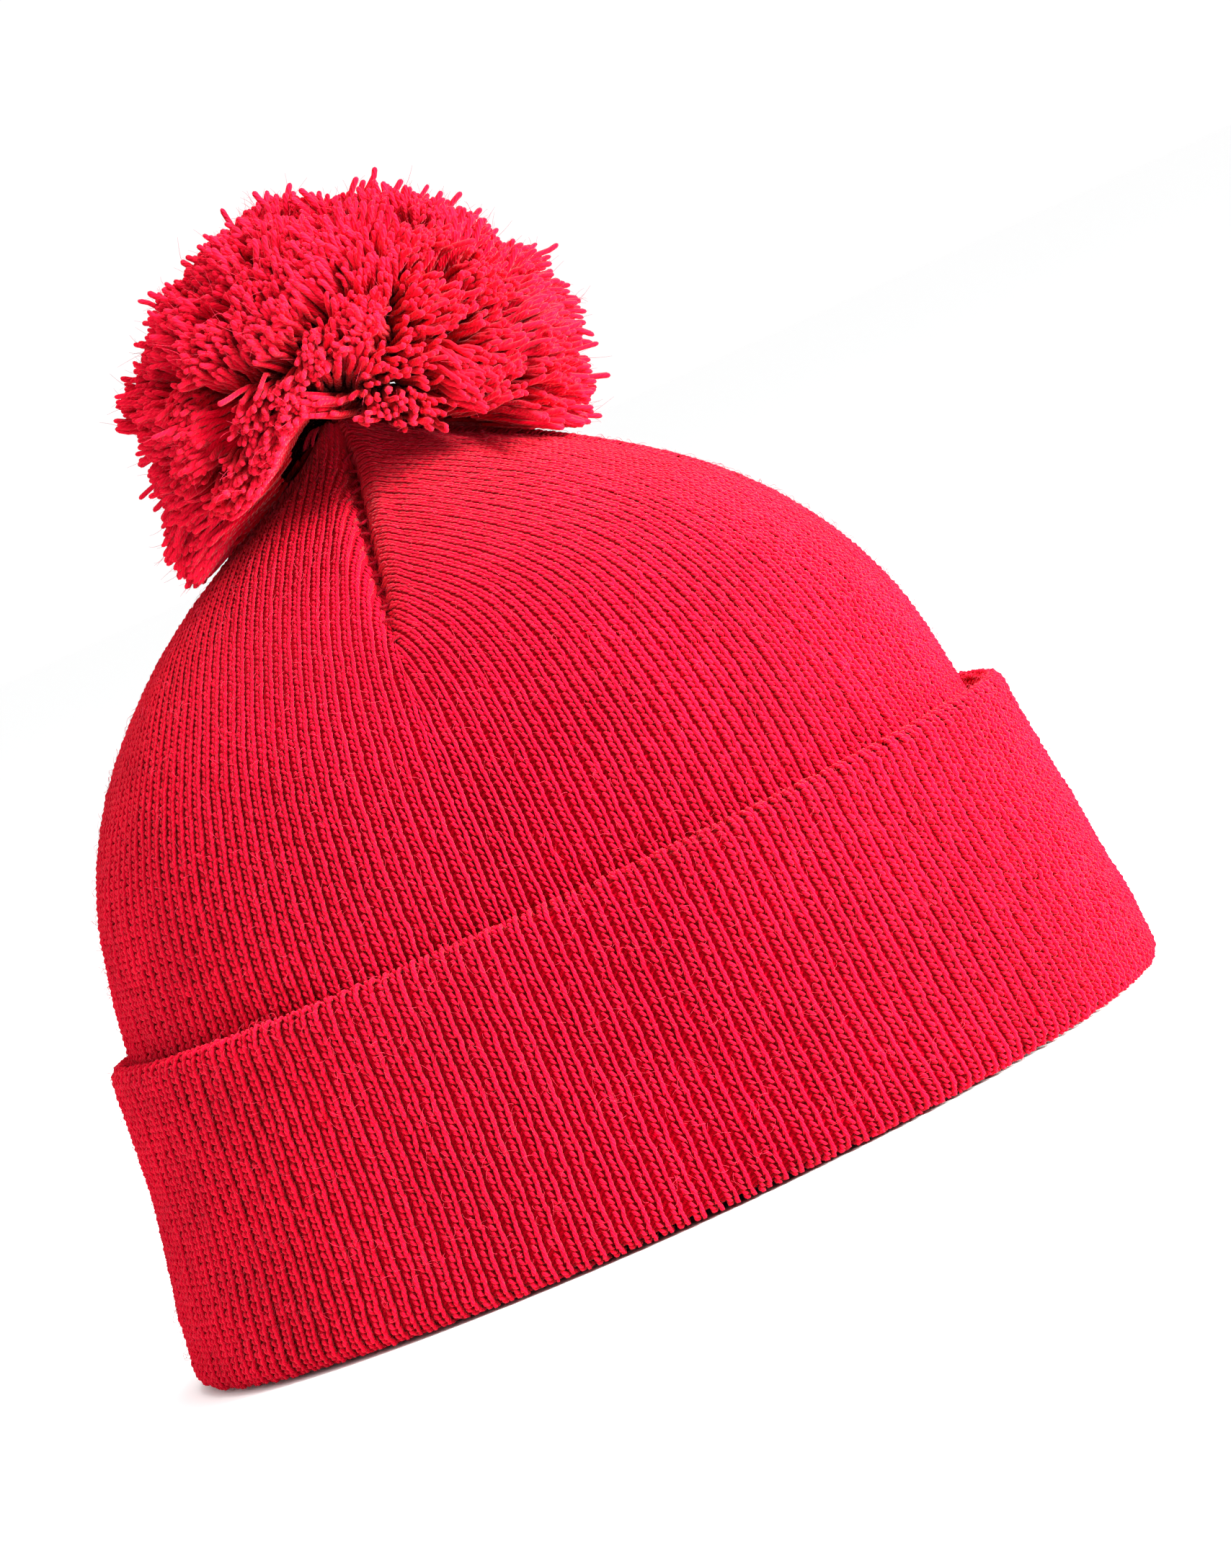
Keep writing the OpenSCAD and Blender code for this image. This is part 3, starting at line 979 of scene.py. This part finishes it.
def make_label_stitches(material):
    """Four stitches side by side along the label's top edge."""
    t = np.linspace(-1, 1, STITCH_RINGS)
    stitches = [
        np.stack([-LABEL_BEHIND + 0.3 * (1 - t ** 2), y + 2 * t, LABEL_TOP + 0.8 - 0.2 * (1 - t ** 2)], -1)
        for y in LABEL_WIDTH / 4 * np.arange(-1.5, 2)
    ]
    thread = thread_piece("label_thread", stitches, closed_ends(STITCH_RINGS, LABEL_THREAD), material)
    finish_piece(thread, ["label_stitches"], "crown")


# ---- Pompom ----

def sphere_points(count, rng, jitter):
    """Directions spread evenly over a sphere, each a little out of place."""
    i = np.arange(count) + 0.5
    z = 1 - 2 * i / count
    angle = i * math.pi * (3 - math.sqrt(5))
    r = np.sqrt(1 - z ** 2)
    points = np.stack([r * np.cos(angle), r * np.sin(angle), z], -1)
    return unit(points + rng.normal(size=(count, 3)) * jitter)


def crown_clearance(points):
    """How far points are outside the crown, along the dome's normal, roughly."""
    r = np.hypot(points[..., 0], points[..., 1] / CROWN_OVAL)
    height = points[..., 2] - tip_peak(r)
    z = np.clip(height, 0, CROWN_HEIGHT - 0.3)
    gap = (r - dome(z)) / np.sqrt(1 + dome_slope(z) ** 2)
    above = np.maximum(height - CROWN_HEIGHT + r * 0.45, 0)
    return np.maximum(gap, above)


def ball_reach(direction):
    """How long the strands are in each direction: longer down the back, where they hang, shorter on top."""
    back_low = unit(np.array([-0.9, 0.0, -0.45]))
    crest = unit(np.array([0.3, 0.0, 0.95]))
    hang = HANG * np.clip(direction @ back_low, 0, 1) ** 4
    return BALL_RADIUS + hang - TOP_TRIM * np.clip(direction @ crest, 0, 1) ** 3


# How far along a strand each ring of points is, and how thick the strand is there
STRAND_RINGS = np.array([0, 0.18, 0.36, 0.52, 0.66, 0.79, 0.9, 0.968, 0.99, 1])
STRAND_SHAPE = np.array([0.8, 0.9, 1, 1, 1, 1, 1, 1, 0.72, 0.12])
STRAND_START = 27.0
STRAND_RADIUS = (0.5, 0.68)
RAGGED_HEM = 5.0
LEFT_ROOM = 5.0
HANG = 6.0
TOP_TRIM = 4.0

# How locks vary: how far a lock draws its strands together, how far it sweeps aside, and its length
LOCK_PULL = (-0.1, 0.45)
LOCK_SWEEP = (1.0, 7.5)
LOCK_LENGTH_VARIES = 1.3

# How strands vary: in length, the share that stick out and by how much, their crimp, and the end's curl
LENGTH_VARIES = 1.1
LENGTH_TRIM = 1.8
STRAY_SHARE = 0.02
STRAY_LENGTH = (1.5, 4.5)
CRIMP_WAVES = (1.4, 2.6)
CRIMP_SIZE = (0.2, 0.6)
CURL = (-1.6, 1.6)

# The ball's hem rises over the crown's tip, where it is seen from the wearer's right
TIP_ARCH_RISE = 4.5
TIP_ARCH_WIDTH = 10.0
TIP_DEPTH = 20
BEND_SOFTNESS = 1.5


def strand_lines(rng):
    """The sweep of each strand from the ball's middle to its end, and the way its end faces."""
    direction = tipped_up(sphere_points(STRANDS, rng, 0.02))
    locks = tipped_up(sphere_points(LOCKS, rng, 0.12))
    lock = np.argmax(direction @ locks.T, axis=1)
    pull = rng.uniform(*LOCK_PULL, LOCKS)[lock][:, None]
    scatter = rng.normal(size=direction.shape) * 0.03
    tip = unit(direction + pull * (locks[lock] - direction) + scatter)
    lean = unit(np.cross(locks, rng.normal(size=locks.shape)))[lock]
    lock_reach = ball_reach(tip) + rng.normal(size=LOCKS)[lock] * LOCK_LENGTH_VARIES
    reach = lock_reach + rng.normal(size=STRANDS) * LENGTH_VARIES - LENGTH_TRIM
    stray = rng.random(STRANDS) < STRAY_SHARE
    reach = reach + stray * rng.uniform(*STRAY_LENGTH, STRANDS)
    sweep = lean * rng.uniform(*LOCK_SWEEP, LOCKS)[lock][:, None]
    t = STRAND_RINGS[None, :, None]
    start = direction * STRAND_START
    end = tip * reach[:, None]
    return start[:, None] + (end - start)[:, None] * t + sweep[:, None] * t ** 1.6, tip


def crimped(paths, tip, rng):
    """Strands with the waves that two wound plies give them, and curled at their ends."""
    t = STRAND_RINGS[None, :, None]
    each = (STRANDS, 1, 1)
    across = unit(np.cross(tip, rng.normal(size=tip.shape)))[:, None]
    other = np.cross(tip[:, None], across)
    phase = rng.uniform(0, 2 * math.pi, each)
    waves = rng.uniform(*CRIMP_WAVES, each)
    crimp = rng.uniform(*CRIMP_SIZE, each)
    turn = phase + waves * 2 * math.pi * t
    paths = paths + crimp * (across * np.sin(turn) + 0.6 * other * np.cos(turn * 0.8))
    curl = rng.uniform(*CURL, each)
    return paths + across * curl * np.clip((t - 0.55) / 0.45, 0, 1) ** 2


def pompom_paths(rng):
    """Centre lines of the cut strands, drawn together into locks, and the way the end of each faces."""
    paths, tip = strand_lines(rng)
    paths = crimped(paths, tip, rng)
    droop = 0.6 + 1.6 * (1 - np.abs(tip[:, None, 2:3]))
    fall = np.array([0, 0, 1.0]) * droop * STRAND_RINGS[None, :, None] ** 2
    paths = paths - fall + BALL_CENTRE
    return clear_of_right_side(paths, RAGGED_HEM * rng.random((STRANDS, 1)) ** 2), tip


def tipped_up(direction):
    """On the wearer's right the ball sits on the crown's tip, so its strands point up off the knit."""
    level = np.hypot(direction[:, 0], direction[:, 1])
    rise = np.arctan2(direction[:, 2], level)
    facing = direction / np.maximum(level, 1e-9)[:, None]
    lowest = -0.3 - 0.45 * np.abs(facing[:, 0]) ** 1.5
    share = np.clip((0.45 - facing[:, 1]) / 0.55, 0, 1)
    share = share ** 2 * (3 - 2 * share)
    limited = lowest + (math.pi / 2 - lowest) * (rise + math.pi / 2) / math.pi
    rise = rise * (1 - share) + limited * share
    return np.stack([facing[:, 0] * np.cos(rise), facing[:, 1] * np.cos(rise), np.sin(rise)], -1)


def clear_of_right_side(paths, ragged=0.0):
    """Strands on the wearer's right are bent up to the crown's outline, and higher in front of its tip."""
    along = np.clip(np.abs(paths[..., 0]), 0.1, CROWN_HALF_LENGTH - 0.1)
    outline = height_at(along) + 1.0 + ragged
    in_front = np.clip(-paths[..., 1] / TIP_DEPTH, 0, 1)
    outline = outline + TIP_ARCH_RISE * np.exp(-(paths[..., 0] / TIP_ARCH_WIDTH) ** 2) * in_front
    above = BEND_SOFTNESS * np.logaddexp(0, (paths[..., 2] - outline) / BEND_SOFTNESS)
    share = np.clip((4 - paths[..., 1]) / 12, 0, 1)
    raised = paths.copy()
    raised[..., 2] = paths[..., 2] * (1 - share) + (outline + above) * share
    return raised


def lift_off_crown(paths, clear):
    """Strands that would run into the crown lie on it, or above it on the wearer's left, to turn freely."""
    for _ in range(12):
        room = clear + LEFT_ROOM * np.clip(paths[..., 1] / TIP_DEPTH, 0, 1)
        short = np.clip(room - crown_clearance(paths), 0, None)
        paths = paths + short[..., None] * np.array([0, 0, 0.8])
        outward = unit(paths * np.array([1, 1, 0]))
        paths = paths + (short * 0.25)[..., None] * outward
    return paths


# The way each part of the ball faces, and the joint that tilts it
POMPOM_SIDES = {
    "front": ((1, 0, 0), "pompom_nod"),
    "back": ((-1, 0, 0), "pompom_nod"),
    "left": ((0, 1, 0), "pompom_lean"),
    "right": ((0, -1, 0), "pompom_lean"),
    "top_front": ((0.5, 0, 0.87), "pompom_nod"),
    "top_back": ((-0.5, 0, 0.87), "pompom_nod"),
    "top_left": ((0, 0.5, 0.87), "pompom_lean"),
    "top_right": ((0, -0.5, 0.87), "pompom_lean"),
    "under_front": ((0.7, 0, -0.7), "pompom_nod"),
    "under_back": ((-0.7, 0, -0.7), "pompom_nod"),
    "under_left": ((0, 0.7, -0.7), "pompom_lean"),
}


def press_on_crown(piece):
    """The piece rides on the pompom's body, with a mesh of its own."""
    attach(piece, "pompom")
    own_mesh(piece)


def make_pompom(material, fuzz_material):
    rng = np.random.default_rng(7)
    paths, tip = pompom_paths(rng)
    paths = lift_off_crown(paths, 1.6)
    thick = rng.uniform(*STRAND_RADIUS, (STRANDS, 1))
    shade = rng.normal(size=(STRANDS, 1)) * 0.08
    side = np.argmax(tip @ np.array([way for way, _ in POMPOM_SIDES.values()]).T, axis=1)
    for number, (name, (_, joint)) in enumerate(POMPOM_SIDES.items()):
        chosen = side == number
        points, faces, uv = yarn_tubes(paths[chosen], thick[chosen] * STRAND_SHAPE, 5)
        from_middle = np.linalg.norm(points - BALL_CENTRE, axis=-1)
        # Painted shade: strands darker towards the ball's middle, each strand's tone also varying at random
        relief = np.clip((from_middle - 31) / 13, 0, 1) + shade[chosen][..., None]
        uv = uv + rng.uniform(0, 30, (chosen.sum(), 1, 1, 1)) * np.array([0, 1])
        strands = new_piece("pompom_strands_" + name, points, faces, material, relief, uv)
        finish_piece(strands, ["pompom_yarn"])
        press_on_crown(strands)
    for piece in (pompom_shade_core(material), pompom_fuzz(paths, rng, fuzz_material)):
        press_on_crown(piece)


def pompom_fuzz(paths, rng, material):
    """Single fibres that have worked loose from the strands' ends."""
    chosen = rng.choice(STRANDS, POMPOM_FIBRES, replace=False)
    start = paths[chosen, -2]
    heading = unit(start - BALL_CENTRE + rng.normal(size=start.shape) * 22)
    bend = unit(rng.normal(size=start.shape)) * rng.uniform(0.5, 2.0, (POMPOM_FIBRES, 1))
    length = rng.uniform(2, 5, (POMPOM_FIBRES, 1, 1))
    t = np.linspace(0, 1, FIBRE_RINGS)[None, :, None]
    fibres = start[:, None] + heading[:, None] * t * length + bend[:, None] * t ** 2
    fibres = clear_of_right_side(lift_off_crown(fibres, 1.0))
    return fibre_piece("pompom_fuzz", fibres, material)


def pompom_shade_core(material):
    """A lumpy dark ball, painted in the yarn's deepest shade to stand for the packed yarn in the middle,
    seen only as the darkness between the strands.
    """
    turns, levels = 120, 60
    angle = np.linspace(0, 2 * math.pi, turns, endpoint=False)[None, :]
    up = np.linspace(-math.pi / 2 + 0.01, math.pi / 2 - 0.01, levels)[:, None]
    level = np.cos(up)
    direction = np.stack(np.broadcast_arrays(level * np.cos(angle), level * np.sin(angle), np.sin(up)), -1)
    bumps = 0.8 * np.sin(9 * angle + 5 * up) * np.cos(7 * up) + 0.5 * np.sin(17 * angle - 11 * up)
    centre = BALL_CENTRE + np.array([0, 0, CORE_RISE])
    points = centre + direction * (CORE_RADIUS + bumps * level)[..., None]
    points[..., 2] = np.maximum(points[..., 2], CORE_FLOOR + 0.1 * bumps)
    index = np.arange(turns * levels).reshape(levels, turns)
    index = np.concatenate([index, index[:, :1]], 1)
    uv = np.stack(np.broadcast_arrays(angle * CORE_RADIUS, up * CORE_RADIUS), -1)
    # Painted shade: every point takes the tone of the yarn's darkest colour
    return new_piece("pompom_shade_core", points, grid_faces(index), material, np.zeros(turns * levels), uv)


# ---- Scene ----

def make_stage():
    """A wide white floor, just under the stitches that stand lowest."""
    floor_mesh = bpy.data.meshes.new("floor")
    size = 14.0
    corners = [(-size, -size, 0), (size, -size, 0), (size, size, 0), (-size, size, 0)]
    floor_mesh.from_pydata(corners, [], [(0, 1, 2, 3)])
    floor = placed("floor", floor_mesh)
    floor.location.z = -0.0006
    paint = shader("floor_paint", (0.97, 0.97, 0.97), 0.8, 0, (1, 1, 1), 0.1)[0]
    floor_mesh.materials.append(paint)


def area_light(name, place, target, size, power, colour):
    data = bpy.data.lights.new(name, "AREA")
    data.shape = "DISK"
    data.size = size
    data.energy = power
    data.color = colour
    light = placed(name, data)
    light.location = place
    light.rotation_euler = (Vector(target) - Vector(place)).to_track_quat("-Z", "Y").to_euler()


def make_lights():
    world = bpy.data.worlds.new("studio")
    world.use_nodes = True
    set_inputs(world.node_tree.nodes["Background"], {"Color": (1, 1, 1, 1), "Strength": 1.02})
    bpy.context.scene.world = world
    target = (0, 0, 0.1)
    area_light("key", (1.35, -0.75, 0.6), target, 0.6, 138, (0.78, 1.0, 0.96))
    area_light("top", (0.25, -0.1, 1.5), target, 0.6, 14, (1, 1, 1))


def make_camera():
    """The view across the brim, from slightly above it and turned so that the hat leans to the left."""
    azimuth, roll = math.radians(7.5), math.radians(24.6)
    distance, eye_height, aim_height, aim_across = 1.27, 0.160, 0.0768, 0.0202
    right = Vector((math.cos(azimuth), math.sin(azimuth), 0))
    back = Vector((math.sin(azimuth), -math.cos(azimuth), 0))
    aim = right * aim_across + Vector((0, 0, aim_height))
    eye = right * aim_across + back * distance + Vector((0, 0, eye_height))
    axis = (eye - aim).normalized()
    flat_right = Vector((0, 0, 1)).cross(axis).normalized()
    flat_up = axis.cross(flat_right)
    view_right = flat_right * math.cos(roll) - flat_up * math.sin(roll)
    view_up = flat_up * math.cos(roll) + flat_right * math.sin(roll)
    data = bpy.data.cameras.new("camera")
    data.sensor_fit = "VERTICAL"
    data.sensor_height = 36
    data.lens = 144
    data.clip_start = 0.05
    camera = placed("camera", data)
    turn = Matrix((view_right, view_up, axis)).transposed().to_4x4()
    camera.matrix_world = Matrix.Translation(eye) @ turn
    bpy.context.scene.camera = camera


make_camera()
make_lights()
make_stage()

# Each yarn's colour where it lies deep, halfway and on top, which paints its shade, then how strong its
# sheen is
knit_red = yarn_material(
    "rib_knit", (0.19, 0.0, 0.0015), (0.52, 0.0003, 0.01), (0.73, 0.004, 0.025), 0.15,
)
lining_red = yarn_material(
    "lining_rib_knit", (0.1, 0.0, 0.001), (0.5, 0.0006, 0.012), (0.85, 0.003, 0.03), 0.2,
)
pompom_red = yarn_material(
    "pompom_cut_yarn", (0.26, 0.0, 0.003), (0.5, 0.0004, 0.009), (0.74, 0.006, 0.027), 0.15,
    ply_depth=0.45, ply_spacing=0.7,
)
seam_red = yarn_material(
    "seam_thread", (0.08, 0.0, 0.001), (0.2, 0.001, 0.006), (0.34, 0.003, 0.014), 0.1,
)
tie_red = yarn_material(
    "tie_yarn", (0.1, 0.0, 0.001), (0.5, 0.003, 0.018), (0.75, 0.009, 0.04), 0.2,
)
fuzz_red = yarn_material(
    "loose_fibre", (0.5, 0.003, 0.02), (0.6, 0.008, 0.035), (0.72, 0.02, 0.055), 0.2, ply_depth=0.0,
)
label_cream = tape_material("label_tape", (0.82, 0.78, 0.7))
label_beige = yarn_material(
    "label_thread", (0.3, 0.28, 0.24), (0.5, 0.46, 0.4), (0.62, 0.58, 0.5), 0.1, tint=(1, 1, 1),
)

make_crown(knit_red, fuzz_red)
make_lining(lining_red)
make_cuff(knit_red, fuzz_red)
make_dart_seams(seam_red)
make_gather(seam_red)
make_knot(tie_red)
make_tie(tie_red)
make_waist(tie_red)
make_label(label_cream)
make_label_stitches(label_beige)
make_pompom(pompom_red, fuzz_red)

bpy.context.scene.view_settings.view_transform = "Standard"
